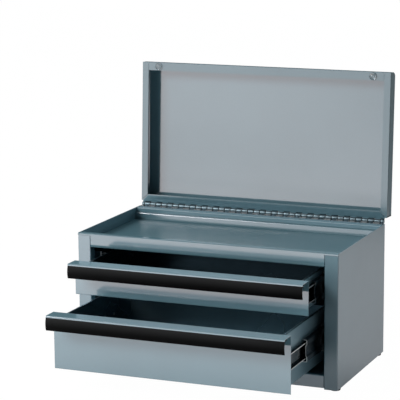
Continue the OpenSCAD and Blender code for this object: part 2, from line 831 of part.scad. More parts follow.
for (drawer = ["upper", "lower"]) {
    drawer_front(drawer);
    drawer_box(drawer);
    drawer_grip(drawer);
    slide_screws(drawer);
    drawer_rivets(drawer);
    balls(drawer, 0.25, outer_ball_u, outer_ball_z, outer_ball_d);
    balls(drawer, 0.75, inner_ball_u, inner_ball_z, inner_ball_d);
    for (side = ["left", "right"]) {
        place = str(drawer, "_", side);
        fixed_member(drawer, side);
        middle_member(drawer, side);
        drawer_member(drawer, side);
        outer_cage(drawer, side);
        inner_cage(drawer, side);
    }
}
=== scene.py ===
# %% [markdown]
# # A two-drawer tool chest in blue-grey enamel
# The chest is folded sheet steel: a cabinet with a shallow tray on top, a lid on a continuous hinge, and
# two drawers on ball-bearing slides. The packed model already holds every panel in its real size, so this
# lesson is about light, camera and finishes, and about the few moulded and turned pieces that deserve a
# finer surface than a solid modeller gives them. We start by loading the model. The frame is in metres, so
# lengths in millimetres are written times MM. The lid stands open by 93 degrees, about a line that the
# record gives.

# %% Load the imported model
import json
import math

import bmesh
import bpy
import numpy as np
from mathutils import Matrix, Vector


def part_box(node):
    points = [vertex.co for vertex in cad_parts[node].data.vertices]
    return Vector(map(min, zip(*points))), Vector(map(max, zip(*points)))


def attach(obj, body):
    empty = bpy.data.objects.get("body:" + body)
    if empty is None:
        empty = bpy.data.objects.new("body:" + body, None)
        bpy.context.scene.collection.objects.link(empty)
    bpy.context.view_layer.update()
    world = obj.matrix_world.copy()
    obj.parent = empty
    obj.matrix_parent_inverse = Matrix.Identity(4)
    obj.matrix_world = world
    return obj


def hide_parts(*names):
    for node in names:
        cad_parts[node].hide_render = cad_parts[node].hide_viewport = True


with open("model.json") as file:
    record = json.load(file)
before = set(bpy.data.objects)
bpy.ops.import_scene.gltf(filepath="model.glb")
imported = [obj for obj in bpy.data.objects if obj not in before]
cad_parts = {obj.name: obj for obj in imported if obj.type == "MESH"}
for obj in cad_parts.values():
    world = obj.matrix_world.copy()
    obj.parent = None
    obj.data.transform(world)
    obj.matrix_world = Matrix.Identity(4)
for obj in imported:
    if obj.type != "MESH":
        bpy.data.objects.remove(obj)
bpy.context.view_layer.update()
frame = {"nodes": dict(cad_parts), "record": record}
MM = 0.001
hinge = next(joint for joint in frame["record"]["behaviour"]["joints"] if joint["name"] == "lid_hinge")
hinge_line = np.array(hinge["pos_m"])
lid_angle = math.radians(93)

# %% [markdown]
# ## The camera
# A product photographer stands well back with a long lens, so that upright
# edges stay nearly parallel. The camera's place was found by matching 36
# corners of the model to the same corners in the photograph. A camera looks
# along its own -Z, so its matrix is built from three directions: right, up and
# back. A small lens shift puts the chest where it sits in the frame, without
# tilting the view.

# %% Camera
camera_azimuth = math.radians(21.84)
camera_elevation = math.radians(11.39)
camera_roll = math.radians(-0.23)
camera_distance = 3.10789
camera_aim = Vector((0.0, 0.0, 0.155))
camera_side_step = -0.00488
camera_lift = 0.10257
sensor_mm = 36.0
image_px = 400
focal_px = 1838.43
centre_px = (230.0, 210.0)

back = Vector((
    math.sin(camera_azimuth) * math.cos(camera_elevation),
    -math.cos(camera_azimuth) * math.cos(camera_elevation),
    math.sin(camera_elevation)))
level_right = (-back).cross(Vector((0, 0, 1))).normalized()
level_up = level_right.cross(-back)
eye = camera_aim + back * camera_distance + level_right * camera_side_step + level_up * camera_lift
rolled_right = level_right * math.cos(camera_roll) + level_up * math.sin(camera_roll)
rolled_up = level_up * math.cos(camera_roll) - level_right * math.sin(camera_roll)

camera_data = bpy.data.cameras.new("long_lens")
camera_data.sensor_width = sensor_mm
camera_data.lens = focal_px / image_px * sensor_mm
camera_data.shift_x = 0.5 - centre_px[0] / image_px
camera_data.shift_y = centre_px[1] / image_px - 0.5
camera = bpy.data.objects.new("long_lens", camera_data)
turn = Matrix((rolled_right, rolled_up, back)).transposed()
camera.matrix_world = Matrix.Translation(eye) @ turn.to_4x4()
bpy.context.scene.collection.objects.link(camera)
bpy.context.scene.camera = camera
print("camera at", [round(c, 3) for c in eye], "lens", round(camera_data.lens, 1), "mm")

# %% [markdown]
# ## Arithmetic on sockets
# A material is a small program made of nodes. Writing one node per addition
# hides the idea, so a number that flows between nodes is wrapped in a class
# that knows plus, minus, times and divide. Each operation adds one Math node
# and returns the wrapped result. A ramp adds a smooth step between two numbers,
# which is how the finishes below say where something begins.

# %% Shader arithmetic
class Flow:
    """A number that flows out of a node, with ordinary arithmetic."""

    def __init__(self, finish, socket):
        self.finish = finish
        self.socket = socket

    def _math(self, operation, *numbers):
        return self.finish.add("ShaderNodeMath", {"operation": operation}, dict(enumerate(numbers)))

    def __add__(self, other):
        return self._math("ADD", self, other)

    def __sub__(self, other):
        return self._math("SUBTRACT", self, other)

    def __mul__(self, other):
        return self._math("MULTIPLY", self, other)

    def __truediv__(self, other):
        return self._math("DIVIDE", self, other)

    def __radd__(self, other):
        return self._math("ADD", other, self)

    def __rsub__(self, other):
        return self._math("SUBTRACT", other, self)

    def __rmul__(self, other):
        return self._math("MULTIPLY", other, self)

    def absolute(self):
        """The number without its sign."""
        return self._math("ABSOLUTE", self)

    def root(self):
        """The square root."""
        return self._math("SQRT", self)

    def larger(self, other):
        """The larger of two numbers."""
        return self._math("MAXIMUM", self, other)

    def wrapped(self, length):
        """What is left over after whole lengths are taken away."""
        return self._math("FLOORED_MODULO", self, length)

    def ramp(self, low, high, to_low=0.0, to_high=1.0):
        """Eases from to_low, where the number is low, to to_high, where it is high."""
        return self.finish.add(
            "ShaderNodeMapRange", {"interpolation_type": "SMOOTHSTEP"},
            {"Value": self, "From Min": low, "From Max": high, "To Min": to_low, "To Max": to_high})


print("arithmetic ready")

# %% [markdown]
# ## One finish, node by node
# A finish is one material and the methods that build it. Every node comes from
# one method, which sets the node's settings first and then fills or links its
# sockets. Patterns read the object's own coordinates, which are metres in the
# shared frame, so a blotch or a line has its real size on every piece.

# %% Finish
class Finish:
    """One material. Its nodes are added one at a time, each by add."""

    def __init__(self, name):
        self.material = bpy.data.materials.new(name)
        self.material.use_nodes = True
        self.tree = self.material.node_tree
        self.shader = next(n for n in self.tree.nodes if n.type == "BSDF_PRINCIPLED")

    def fill(self, node, values):
        """Links or sets a node's sockets, each by its name or number."""
        for key, value in values.items():
            if isinstance(value, Flow):
                value = value.socket
            if isinstance(value, bpy.types.NodeSocket):
                self.tree.links.new(value, node.inputs[key])
            else:
                node.inputs[key].default_value = value

    def add(self, kind, settings=None, values=None, output=0):
        """Adds a node: settings first, then its sockets. Returns its output."""
        node = self.tree.nodes.new(kind)
        for name, value in (settings or {}).items():
            setattr(node, name, value)
        self.fill(node, values or {})
        return Flow(self, node.outputs[output])

    def place(self, stretch=(1.0, 1.0, 1.0)):
        """Object coordinates in metres, each times its stretch."""
        raw = self.add("ShaderNodeTexCoord", output="Object")
        return self.add("ShaderNodeMapping", {"vector_type": "POINT"}, {"Vector": raw, "Scale": stretch})

    def noise(self, size, detail=2.0, stretch=(1.0, 1.0, 1.0)):
        """Soft noise from 0 to 1 whose blotches are about size metres across."""
        return self.add(
            "ShaderNodeTexNoise", {"noise_dimensions": "3D"},
            {"Vector": self.place(stretch), "Scale": 1.0 / size, "Detail": detail})

    def parts(self, vector):
        """The three numbers of a vector."""
        node = self.add("ShaderNodeSeparateXYZ", {}, {0: vector}).socket.node
        return [Flow(self, node.outputs[i]) for i in range(3)]

    def mix(self, share, first, second):
        """A colour between two, by share from 0 to 1. Its sockets 6, 7 and output 2 are colours."""
        return self.add(
            "ShaderNodeMix", {"data_type": "RGBA"}, {0: share, 6: first, 7: second}, output=2)

    def bump(self, height, depth, strength=1.0, under=None):
        """Turns a height into a bent normal. A height of one is depth metres."""
        values = {"Height": height, "Distance": depth, "Strength": strength}
        if under is not None:
            values["Normal"] = under
        return self.add("ShaderNodeBump", {}, values)

    def surface(self, **sockets):
        """Fills the main shader's sockets, named with _ for a space."""
        self.fill(self.shader, {name.replace("_", " "): value for name, value in sockets.items()})
        return self.material

    def show(self, share, first, second):
        """Sends a mix of two shaders, by share from 0 to 1, to the material's output."""
        both = self.add("ShaderNodeMixShader", {}, {0: share, 1: first, 2: second})
        output = next(n for n in self.tree.nodes if n.type == "OUTPUT_MATERIAL")
        self.tree.links.new(both.socket, output.inputs["Surface"])
        return self.material


print("finish ready")

# %% Plain colours
def grey(value):
    """An opaque neutral colour."""
    return (value, value, value, 1.0)


def times(colour, factor):
    """An opaque colour, made darker or lighter by a factor."""
    return tuple(min(1.0, channel * factor) for channel in colour[:3]) + (1.0,)


print("a mid grey, and half of it:", grey(0.5), times(grey(0.5), 0.5))

# %% [markdown]
# ## Floor, backdrop and light
# The chest stands on a white table. Its enamel is nearly a mirror, so what it
# reflects matters as much as what lights it. To the camera the table is plain
# white. To a reflection it is half glow and half matt white, so the chest's own
# shadow shows in its reflections too. That glow follows the distance from the
# chest. In front it is dim at the chest's foot, brightest about a metre away
# and dimmer further out, and behind the chest it soon fades.

# %% The table
camera_white = 1.02
camera_share_of_glow = 0.97
foot_glow = 0.68
further_out = ((0.30, 0.60, 0.56), (0.60, 1.10, 0.76), (1.2, 2.0, -0.62))  # from, to, gain
glow_behind = (1.0, 1.6, 1.10, 0.16)  # from, to, near level, far level

table = Finish("white_table")
path = "ShaderNodeLightPath"
watched = table.add(path, output="Is Camera Ray")
mirrored = table.add(path, output="Is Glossy Ray").larger(table.add(path, output="Is Transmission Ray"))
table_x, table_y, _ = table.parts(table.place())
reach = (table_x * table_x + table_y * table_y).root()
before = foot_glow
for start, end, gain in further_out:
    before = before + reach.ramp(start, end, 0.0, gain)
beyond = reach.ramp(*glow_behind)
rear = table_y.ramp(-0.1, 0.1)
glow = watched * camera_white + mirrored * (before * (1.0 - rear) + beyond * rear)
table_white = table.add("ShaderNodeEmission", {}, {"Color": grey(1.0), "Strength": glow})
table_top = table.add("ShaderNodeBsdfDiffuse", {}, {"Color": grey(0.90)})
mirrored_share = 0.5 + reach.ramp(1.2, 2.5, 0.0, 0.3)
table.show(watched * camera_share_of_glow + mirrored * mirrored_share, table_top, table_white)

table_half = 6.0
table_mesh = bpy.data.meshes.new("table_top")
table_mesh.from_pydata(
    [(-table_half, -table_half, 0), (table_half, -table_half, 0),
     (table_half, table_half, 0), (-table_half, table_half, 0)], [], [(0, 1, 2, 3)])
table_mesh.materials.append(table.material)
table_object = bpy.data.objects.new("table_top", table_mesh)
bpy.context.scene.collection.objects.link(table_object)
print("table", 2 * table_half, "m square")

# %% [markdown]
# ## Room and lamp
# The world gives the room's light, by direction. A window low in the front
# left is its brightest part, the ceiling towards the back is half as bright,
# and the right-hand side is dark, which keeps the side panel and the stile
# beside the drawers dim. One large lamp in the front left lights the fronts and
# gives the shadow its direction. The camera itself sees plain white.

# %% The room
window_level = 1.20
ceiling_level = 0.58
room_level = 0.04
cool_tint = (0.94, 1.03, 1.06, 1)

world = bpy.data.worlds.new("studio")
bpy.context.scene.world = world
world.use_nodes = True


class Sky(Finish):
    """The world's nodes, made with the same methods as a material's."""

    def __init__(self, made):
        self.tree = made.node_tree
        self.shader = next(n for n in self.tree.nodes if n.type == "BACKGROUND")


sky = Sky(world)
east, north, height = sky.parts(sky.add("ShaderNodeTexCoord", output="Generated"))
low = height.ramp(0.4, 0.75, 1.0, 0.0)
window = north.ramp(-0.3, 0.2, 1.0, 0.0) * east.ramp(-0.4, 0.05, 1.0, 0.0) * low
ceiling = north.ramp(-0.3, 0.2) * height.ramp(0.4, 0.75)
room = window * window_level + ceiling * ceiling_level + room_level
seen = sky.add(path, output="Is Camera Ray")
cool = sky.mix(height.ramp(-0.05, 0.25) * (1.0 - seen), grey(1.0), cool_tint)
sky.fill(sky.shader, {"Color": cool, "Strength": room * (1.0 - seen) + seen})
print("window", window_level, "ceiling", ceiling_level, "rest of the room", room_level)

# %% The lamp
lamp_aim = Vector((0, 0, 0.2))
lamp_data = bpy.data.lights.new("front_softbox", "AREA")
lamp_data.shape = "RECTANGLE"
lamp_data.size = 1.4
lamp_data.size_y = 1.0
lamp_data.energy = 40.0
lamp = bpy.data.objects.new("front_softbox", lamp_data)
lamp.location = (-1.8, -2.3, 1.9)
lamp.rotation_euler = (lamp_aim - lamp.location).to_track_quat("-Z", "Y").to_euler()
bpy.context.scene.collection.objects.link(lamp)
bpy.context.scene.view_settings.view_transform = "Standard"
print("lamp at", tuple(round(c, 2) for c in lamp.location))

# %% [markdown]
# ## Blue-grey enamel
# The chest is sprayed with a metallic enamel, and such a paint has two
# reflections at once. The flakes that lie flat near the surface act together
# as a sharp, nearly neutral mirror. The flakes below them lie at all angles in
# the tinted film, and scatter light widely in teal. So a metallic shader for
# the mirror and a matt one for the film are mixed half and half. A panel that
# mirrors a dark drawer then still shows the soft teal, as the real one does.
# Small faults keep it from looking like glass: flakes that differ in brightness, a faint orange-peel, and
# sheets that are never quite flat. Two more helpers change a sheet by place: a bend tilts the normal of a
# stretch that isn't flat, and a veil mixes the mirror and the film towards black, which makes a sheet
# duller and, where it darkens it, lays a painted shade on it.

# %% Enamel
def enamel(name, mirror_colour, film_colour, sharp=0.09, bend=None, veil=None):
    """Metallic paint: a sharp neutral mirror and a matt tinted film, half of each.

    Bend and veil take the finish. Bend gives the height in metres by which the
    sheet bulges at a place. Veil gives the shares of the mirror and of the film
    that are left there, and where the mirror is lost the sheet is rougher.
    """
    paint = Finish(name)
    flakes = paint.noise(0.0006, 1.0)
    cloud = paint.noise(0.13, 2.0)
    tone = flakes.ramp(0.35, 0.65) * 0.5 + cloud.ramp(0.3, 0.7) * 0.5
    peel = paint.bump(paint.noise(0.0035, 2.0), 0.000010, 0.35)
    if bend:
        peel = paint.bump(bend(paint) / MM, MM, 1.0, under=peel)
    wavy = paint.bump(paint.noise(0.16, 1.0), 0.00008, 0.6, under=peel)
    mirror = paint.mix(tone, times(mirror_colour, 0.95), times(mirror_colour, 1.05))
    rough = paint.noise(0.03, 3.0).ramp(0.3, 0.7, -0.012, 0.012) + sharp
    film = paint.mix(tone, times(film_colour, 0.95), film_colour)
    if veil:
        # A veil mixes mirror and film towards black by place, and makes the sheet rougher where the mirror
        # goes; each veil says where this is a painted shade.
        mirror_left, film_left = veil(paint)
        mirror = paint.mix(mirror_left, grey(0.0), mirror)
        rough = rough + (1.0 - mirror_left) * 0.3
        film = paint.mix(film_left, grey(0.0), film)
    paint.surface(Base_Color=mirror, Metallic=1.0, Roughness=rough, Normal=wavy)
    matt_film = paint.add("ShaderNodeBsdfPrincipled", {}, {
        "Base Color": film, "Roughness": 0.6, "Specular IOR Level": 0.0, "Normal": peel})
    return paint.show(tone * 0.04 + 0.48, Flow(paint, paint.shader.outputs[0]), matt_film)


print("enamel ready")

# %% [markdown]
# ## Where the enamel changes
# Most of the places come from the imported model. The tray is 20 mm deep, with a ledge 8 mm below its rim
# at the back. Its floor keeps little of its mirror, and the foot of its rear wall gets a painted shade. The
# lid stands 3 degrees past upright, so its rim's plane moves back as it rises.

# %% Places on the tray and the lid
tray_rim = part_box("top_tray")[1][2]
tray_floor = tray_rim - 20.0 * MM
tray_ledge = tray_rim - 8.0 * MM
tray_wall_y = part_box("back_panel")[1][1] - 21.0 * MM
stile_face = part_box("right_side_panel")[0][1]
lid_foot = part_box("lid_shell")[0][2]
lid_lean = math.tan(lid_angle - math.radians(90))
lid_rim_y = 137.0 * MM  # the back of the lid's flat rim, at the hinge's height
lid_fold_y = 135.0 * MM  # the front of the fold under the lid's panel
lid_panel_y = 150.0 * MM  # the panel at its foot
bulge_low, bulge_high = 236.0 * MM, 286.0 * MM
print("tray floor at", round(tray_floor / MM, 1), "mm, its rear wall at", round(tray_wall_y / MM, 1), "mm")

# %% Veils
def stile_veil(paint):
    """The right-hand stile gets a painted shadow of the drawers in its film, most between the two drawers,
    and its mirror is darkened, most above its lowest 10 cm, a painted dark reflection.
    """
    across, along, up = paint.parts(paint.place())
    on_stile = along.ramp(stile_face + 1.2 * MM, stile_face + 1.6 * MM, 1.0, 0.0) * across.ramp(0.0, MM)
    middle = up.ramp(0.05, 0.09) * up.ramp(0.18, 0.22, 1.0, 0.0)
    return 1.0 - on_stile * up.ramp(0.05, 0.10, 0.40, 0.66), 1.0 - on_stile * middle * 0.25


def tray_veil(paint):
    """The tray's floor keeps little of its mirror, least on its left; the foot of its rear wall and the
    wall's top under the ledge lose much of theirs, a painted shade at the crease and at the fold.
    """
    across, along, up = paint.parts(paint.place())
    on_floor = up.ramp(tray_floor + 0.7 * MM, tray_floor + 1.5 * MM, 1.0, 0.0)
    on_wall = along.ramp(tray_wall_y - 1.2 * MM, tray_wall_y - 0.2 * MM) * (1.0 - on_floor)
    # The wall's mirror is taken most at its foot and again under the ledge, a painted shade.
    wall_shade = (up.ramp(tray_floor + 1.0 * MM, tray_floor + 5.0 * MM, 0.85, 0.10)
                 + up.ramp(tray_ledge - 2.0 * MM, tray_ledge - 1.0 * MM, 0.0, 0.45))
    return 1.0 - on_floor * across.ramp(-0.02, 0.19, 0.95, 0.66) - on_wall * wall_shade, 1.0


def lid_veil(paint):
    """The lid's rim is duller than its panel, and its lower fold is darkened, a painted shade."""
    _, along, up = paint.parts(paint.place())
    upright = along - (up - float(hinge_line[2])) * lid_lean
    rim = upright.ramp(lid_rim_y, lid_rim_y + 2.0 * MM, 1.0, 0.0)
    at_foot = up.ramp(lid_foot + 3.2 * MM, lid_foot + 3.6 * MM, 1.0, 0.0)
    fold = at_foot * along.ramp(lid_fold_y - 0.5 * MM, lid_fold_y)
    return 1.0 - rim * 0.25 - fold * 0.65, 1.0 - fold * 0.55


print("veils for the stile, the tray and the lid")

# %% Bends
def tray_bend(paint):
    """The tray's rear wall leans back by a sixth of its height."""
    _, along, up = paint.parts(paint.place())
    return (tray_ledge - up) * along.ramp(tray_wall_y - 0.7 * MM, tray_wall_y - 0.5 * MM) * 0.17


def lid_bend(paint):
    """The lid's panel bulges towards its lower fold, so it looks over the tray."""
    _, along, up = paint.parts(paint.place())
    low = up.ramp(bulge_low, bulge_high, 1.0, 0.0)
    return low * low * along.ramp(lid_panel_y - 5.0 * MM, lid_panel_y) * 1.4 * MM


print("bends for the tray and the lid")

# %% The enamels
# The lid, the tray and the side panels take darker copies of the fronts' teal film, and the brackets' inner
# enamel is darker still: one paint, given a painted shade that differs by panel.
neutral = (0.470, 0.445, 0.460, 1)
outside_enamel = enamel("blue_grey_enamel", neutral, (0.325, 0.575, 0.680, 1))
lid_enamel = enamel(
    "lid_enamel", (0.470, 0.440, 0.450, 1), (0.250, 0.450, 0.530, 1), bend=lid_bend, veil=lid_veil)
side_enamel = enamel("side_enamel", neutral, (0.290, 0.520, 0.620, 1), sharp=0.22, veil=stile_veil)
tray_enamel = enamel(
    "tray_enamel", (0.440, 0.420, 0.435, 1), (0.245, 0.465, 0.550, 1), bend=tray_bend, veil=tray_veil)
inside_enamel = enamel("inner_enamel", (0.215, 0.240, 0.255, 1), (0.120, 0.205, 0.245, 1), sharp=0.14)
print("enamels:", [m.name for m in bpy.data.materials if m.name.endswith("enamel")])

# %% [markdown]
# ## Inside the drawers
# The inside of a drawer carries a film of its own, more metallic and a little smoother than the outer
# faces, in a colour that is much darker than the outside in the upper drawer, a painted shade, and nearly
# as light in the lower one. Both belong to one sheet, and one material can tell them apart by place: the
# outer faces of the drawer sides are the only ones that lie at full width.

# %% Two sides of one sheet
def drawer_enamel(name, side_face, film):
    """Full enamel on the drawer's outer side faces, and inside a film of the given colour."""
    paint = Finish(name)
    across = paint.parts(paint.place())[0].absolute()
    outer = across.ramp(side_face - 0.6 * MM, side_face - 0.1 * MM)
    cloud = paint.noise(0.11, 2.0).ramp(0.3, 0.7)
    inside = paint.mix(cloud, times(film, 0.88), film)
    outside = paint.mix(cloud, (0.255, 0.400, 0.470, 1), (0.270, 0.425, 0.500, 1))
    return paint.surface(
        Base_Color=paint.mix(outer, inside, outside), Metallic=0.75 - outer * 0.35,
        Roughness=0.26 + outer * 0.06 + cloud * 0.02,
        Normal=paint.bump(paint.noise(0.0035, 2.0), 0.000012, 0.35))


drawer_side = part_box("upper_drawer_box")[1][0]
# The upper drawer's inside colour is much darker than the lower one's, a painted shade.
upper_drawer_finish = drawer_enamel("upper_drawer_enamel", drawer_side, (0.075, 0.115, 0.140, 1))
lower_drawer_finish = drawer_enamel("lower_drawer_enamel", drawer_side, (0.250, 0.370, 0.430, 1))
print("drawer sides at", round(drawer_side / MM, 2), "mm")

# %% [markdown]
# ## Rolled steel, balls and fasteners
# The slides are zinc-plated strip that was rolled to shape along its length. Rolling leaves fine lines, so
# the noise is squeezed across the strip and stretched along it. The members are given a dark colour that
# keeps their channels dim, a painted shade, and their sheared edges and end faces are painted nearly white,
# a painted highlight. The edges are found by place: they are the parts of a member that lie furthest from,
# or nearest to, the middle plane. End faces deep in the cabinet get little of that painted highlight. The
# cages get a little yellow from their chromate.

# %% Steel
def rolled_steel(name, colour, shine, along=(1.0, 0.02, 1.0), edge=None, ends=1.0):
    """Strip with fine lines along one direction.

    Edge is the distance from the middle plane at which its sheared edges lie, which are painted bright, a
    painted highlight, and ends is how much of that painted highlight its two end faces get.
    """
    steel = Finish(name)
    lines = steel.noise(0.0008, 3.0, along)
    stain = steel.noise(0.02, 2.0)
    tone = lines * 0.5 + stain * 0.5
    rough = lines.ramp(0.3, 0.7, shine - 0.06, shine + 0.06)
    body = steel.mix(tone.ramp(0.3, 0.7), times(colour, 0.80), colour)
    if edge:
        across = steel.parts(steel.place())[0].absolute()
        facing = steel.parts(steel.add("ShaderNodeTexCoord", output="Normal"))[1].absolute()
        off_edge = (across - edge).absolute()
        # Sheared edges and end faces are painted nearly white, a painted highlight.
        edge_highlight = (facing.ramp(0.85, 0.95) * ends).larger(off_edge.ramp(0.15 * MM, 0.35 * MM, 1.0, 0.0))
        body = steel.mix(edge_highlight, body, (0.86, 0.87, 0.86, 1))
        rough = rough + edge_highlight * 0.2
    return steel.surface(
        Base_Color=body, Metallic=1.0, Roughness=rough, Normal=steel.bump(lines, 0.00002, 0.4))


print("rolled steel ready")

# %% The slides' and fasteners' steel
NEAR, FAR = 0, 1


def distance(member, side):
    """How far the near or the far side of a right-hand member is from the middle plane."""
    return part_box("lower_right_" + member)[side][0]


# The members' dark zinc colours keep them dim, a painted shade.
dark_shaded_zinc = (0.06, 0.085, 0.10, 1)
fixed_steel = rolled_steel(
    "zinc_fixed_member_steel", (0.06, 0.08, 0.09, 1), 0.24, edge=distance("fixed_member", NEAR), ends=0.1)
middle_steel = rolled_steel(
    "zinc_middle_member_steel", dark_shaded_zinc, 0.22, edge=distance("middle_member", NEAR))
hidden_middle_steel = rolled_steel(
    "zinc_upper_middle_steel", dark_shaded_zinc, 0.22, edge=distance("middle_member", NEAR), ends=0.15)
drawer_member_steel = rolled_steel(
    "zinc_drawer_member_steel", dark_shaded_zinc, 0.22, edge=distance("drawer_member", FAR))
cage_steel = rolled_steel("chromate_cage_steel", (0.50, 0.46, 0.34, 1), 0.34)
ball_steel = rolled_steel("polished_ball_steel", (0.74, 0.75, 0.77, 1), 0.12, along=(1, 1, 1))
screw_steel = rolled_steel("zinc_fastener_steel", (0.42, 0.43, 0.43, 1), 0.30, along=(1, 1, 1))
print("drawer member's edges at", round(distance("drawer_member", FAR) / MM, 1), "mm")

# %% [markdown]
# ## Plastics and rubber
# The grips are black plastic. Their tone and gloss follow the height on the face, which the grip's mesh
# carries as an attribute: the upper part is painted a paler grey and made glossier, a painted light, and
# the lower part is painted nearly black, a painted shade. The feet are matt rubber with a bloom, and the
# bumpers on the lid are clear and soft, a little cloudy inside.

# %% Plastics
def rubber(name, colour, bloom):
    """Matt moulded rubber with a fine grain, and paler where it blooms."""
    matt = Finish(name)
    marks = matt.noise(0.03, 3.0)
    return matt.surface(
        Base_Color=matt.mix(marks.ramp(0.45, 0.8), colour, bloom),
        Roughness=marks.ramp(0.3, 0.7, 0.68, 0.77),
        Normal=matt.bump(matt.noise(0.0016, 2.0), 0.00006, 0.5))


def satin_black(name):
    """Black plastic, nearly without gloss, painted nearly black low on the face, a painted shade, and
    greyer and glossier up the face, a painted light.
    """
    black = Finish(name)
    black.shader.inputs["Specular IOR Level"].default_value = 0.06
    face_height = black.add("ShaderNodeAttribute", {"attribute_name": "face_height"}, output=2)
    # The colour goes from nearly black low on the face, a painted shade, to grey high on it, a painted
    # light; the gloss grows with it.
    upper_face_share = face_height.ramp(0.2, 0.95)
    marks = black.noise(0.03, 3.0).ramp(0.3, 0.7)
    return black.surface(
        Base_Color=black.mix(upper_face_share, (0.0012, 0.0012, 0.0013, 1), (0.022, 0.0215, 0.022, 1)),
        Roughness=0.46 - upper_face_share * 0.12 + marks * 0.04,
        Normal=black.bump(black.noise(0.0009, 2.0), 0.00002, 0.4))


def clear_soft(name):
    """Clear soft plastic with a little haze."""
    clear = Finish(name)
    clear.shader.inputs["IOR"].default_value = 1.46
    clear.shader.inputs["Transmission Weight"].default_value = 0.9
    haze = clear.noise(0.004, 2.0)
    return clear.surface(
        Base_Color=clear.mix(haze.ramp(0.3, 0.7), (0.88, 0.91, 0.93, 1), (0.95, 0.97, 0.98, 1)),
        Roughness=haze.ramp(0.3, 0.7, 0.05, 0.12))


foot_rubber = rubber("foot_rubber", (0.022, 0.022, 0.023, 1), (0.032, 0.032, 0.033, 1))
grip_plastic = satin_black("satin_black_plastic")
bumper_plastic = clear_soft("clear_soft_plastic")
print("plastics made")

# %% [markdown]
# ## Surfaces from grids
# Every new piece below is a grid of points worked out with numpy: rows run one
# way over the surface and columns the other, and each cell of the grid is one
# face. A grid whose last column meets its first is a tube, and a tube whose
# ends shrink to a point is a closed form. The helper joins such grids into one
# mesh, merges the points that coincide, and turns all faces outwards.

# %% Grid to mesh
def grid_cells(rows, columns, wrap_rows):
    """One face per cell: a point, the next in its row, and the same two of the next row."""
    row, column = np.meshgrid(np.arange(rows if wrap_rows else rows - 1), np.arange(columns), indexing="ij")
    after, beside = (row + 1) % rows, (column + 1) % columns
    return np.stack([
        row * columns + column, row * columns + beside,
        after * columns + beside, after * columns + column], axis=-1).reshape(-1, 4)


def make_piece(name, grids, finish, body, node, caps=False, wrap_rows=False):
    """Joins grids of points into one piece that stands for the CAD node it replaces.

    Caps close both ends of a tube with one face each, and wrapped rows close a
    ring. Points closer than a thousandth of a millimetre are merged.
    """
    corners, faces, start = [], [], 0
    for grid in grids:
        rows, columns, _ = grid.shape
        corners.append(grid.reshape(-1, 3))
        faces += (grid_cells(rows, columns, wrap_rows) + start).tolist()
        if caps:
            first = np.arange(columns) + start
            faces += [first.tolist(), (first + (rows - 1) * columns).tolist()]
        start += rows * columns
    mesh = bpy.data.meshes.new(name)
    mesh.from_pydata(np.concatenate(corners).tolist(), [], faces)
    tidy = bmesh.new()
    tidy.from_mesh(mesh)
    bmesh.ops.remove_doubles(tidy, verts=tidy.verts, dist=0.001 * MM)
    bmesh.ops.recalc_face_normals(tidy, faces=tidy.faces)
    tidy.to_mesh(mesh)
    tidy.free()
    mesh.shade_smooth()
    mesh.set_sharp_from_angle(angle=math.radians(35))
    mesh.materials.append(finish)
    piece = bpy.data.objects.new(name, mesh)
    bpy.context.scene.collection.objects.link(piece)
    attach(piece, body)
    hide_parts(node)
    print(name, "points", len(mesh.vertices), "faces", len(mesh.polygons))
    return piece


print("a tube of 3 rings with 4 points each has", len(grid_cells(3, 4, False)), "faces")

# %% Arcs and turned profiles
def arc(centre, radius, start, end, count):
    """Points on a circle: the centre plus the radius times the cosine and sine of each angle."""
    angle = np.radians(np.linspace(start, end, count))
    return np.stack([centre[0] + radius * np.cos(angle), centre[1] + radius * np.sin(angle)], axis=-1)


def turned(profile, count):
    """Turns a profile of (radius, height) about the height axis.

    A point is (radius times cosine, radius times sine, height) of the turn's angle.
    """
    angle = np.linspace(0, 2 * np.pi, count, endpoint=False)
    radius, height = profile[:, :1], profile[:, 1:]
    return np.stack([
        radius * np.cos(angle), radius * np.sin(angle), height + 0 * angle], axis=-1)


print("a cylinder's grid:", turned(np.array([[1.0, 0.0], [1.0, 2.0]]), 12).shape)

# %% [markdown]
# ## Grips
# A grip is an extruded strip: a bulged face with a rounded lower lip, a leg
# behind the shelf's turned-down edge, and a tongue under the shelf. The strip
# is one closed profile carried along X. Close to both ends the profile is
# drawn in by a few tenths of a millimetre, which rounds the cut end.

# %% Grip profile
grip_face_r = 30.0
grip_wall = 2.0
face_centre = (28.0, -13.97)
face_top_angle = 159.6
inside_top_angle = 164.0
lip_angle = 198.6
edge_low = 3.2  # lower end of the shelf's turned-down edge
hold = 1.434  # the shelf's sheet and a small gap, which the grip reaches round
leg_back, leg_low = 3.43, 5.0
tongue_low, tongue_end = 3.03, 11.43
round_off = 0.23  # of the tongue's end, and about the same at the other small corners


def grip_profile():
    """The closed outline of a grip in mm, from the top front corner of the shelf.

    The face is an arc, the lip a half circle that ends it, and the inside an
    arc about the same centre. Straight runs make the leg and the tongue.
    """
    middle = grip_face_r - grip_wall / 2
    lip = (face_centre[0] + middle * math.cos(math.radians(lip_angle)),
           face_centre[1] + middle * math.sin(math.radians(lip_angle)))
    face = arc(face_centre, grip_face_r, face_top_angle, lip_angle, 40)
    lip_round = arc(lip, grip_wall / 2, lip_angle + 15, lip_angle + 165, 9)
    inside = arc(face_centre, grip_face_r - grip_wall, lip_angle, inside_top_angle, 24)
    leg = [(leg_back, -leg_low), (leg_back, -edge_low), (leg_back + 0.27, -tongue_low)]
    tongue = [(tongue_end - round_off, -tongue_low), (tongue_end, round_off - tongue_low),
              (tongue_end, -hold - 0.216), (tongue_end - round_off, -hold)]
    channel = [(hold, -hold), (hold, -edge_low)]
    return np.concatenate([[(0.25, -edge_low)], face, lip_round, inside, leg, tongue, channel])


print("a grip's outline is", round(np.ptp(grip_profile()[:, 1]), 1), "mm high")

